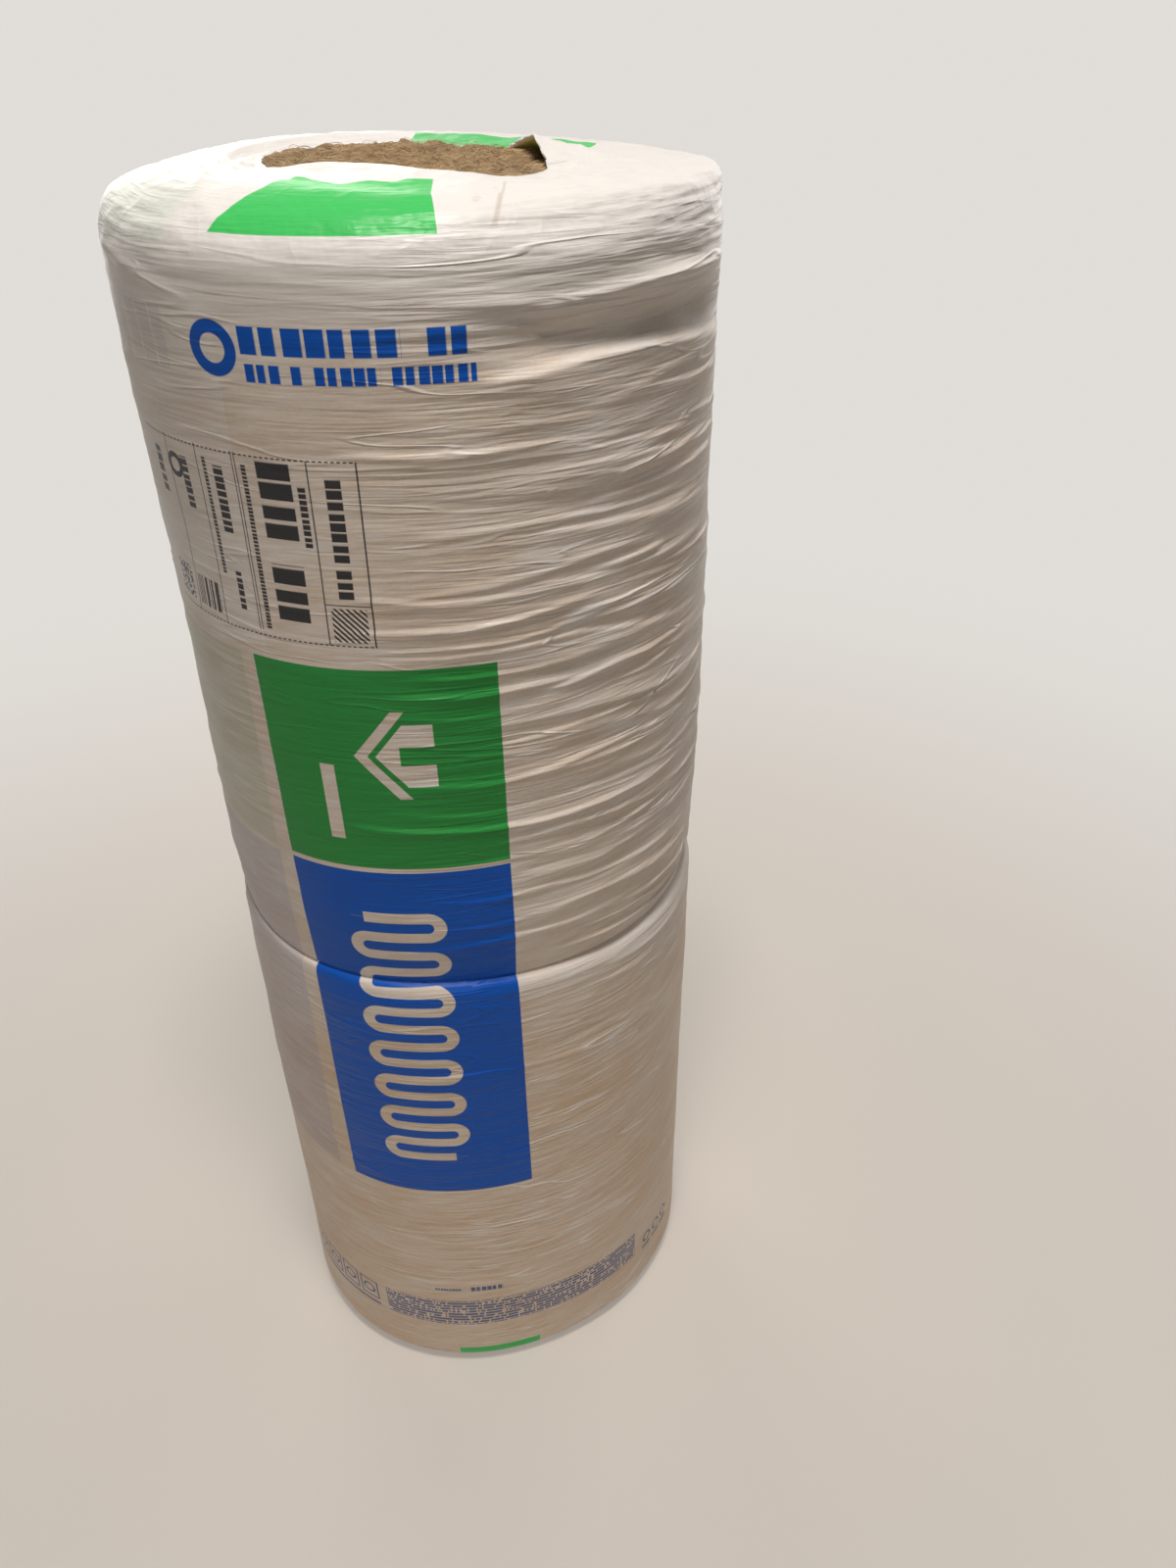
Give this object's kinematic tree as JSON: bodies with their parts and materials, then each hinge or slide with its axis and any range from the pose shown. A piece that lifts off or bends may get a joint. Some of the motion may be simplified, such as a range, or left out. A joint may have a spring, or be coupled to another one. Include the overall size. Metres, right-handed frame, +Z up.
{
  "type": "insulation roll",
  "caption": "Tall round pack of rolled wool insulation in white printed film, drawn in at mid height and open at its ends.",
  "frame": {"origin": "centre of the film's bottom end, at floor level", "axes": "+Z up along the pack's axis; -Y is the printed front; +X is to the right of someone who faces the front"},
  "size_m": [0.4306, 0.4305, 1.1835],
  "materials": {
    "film": "white stretched polyethylene film with printed colour panels, wrinkled and faintly glossy",
    "wool": "brown mineral wool with loose fibres and dark specks"
  },
  "bodies": {
    "root": {"film_wrap": "film", "upper_wool_roll": "wool", "lower_wool_roll": "wool"}
  },
  "joints": []
}
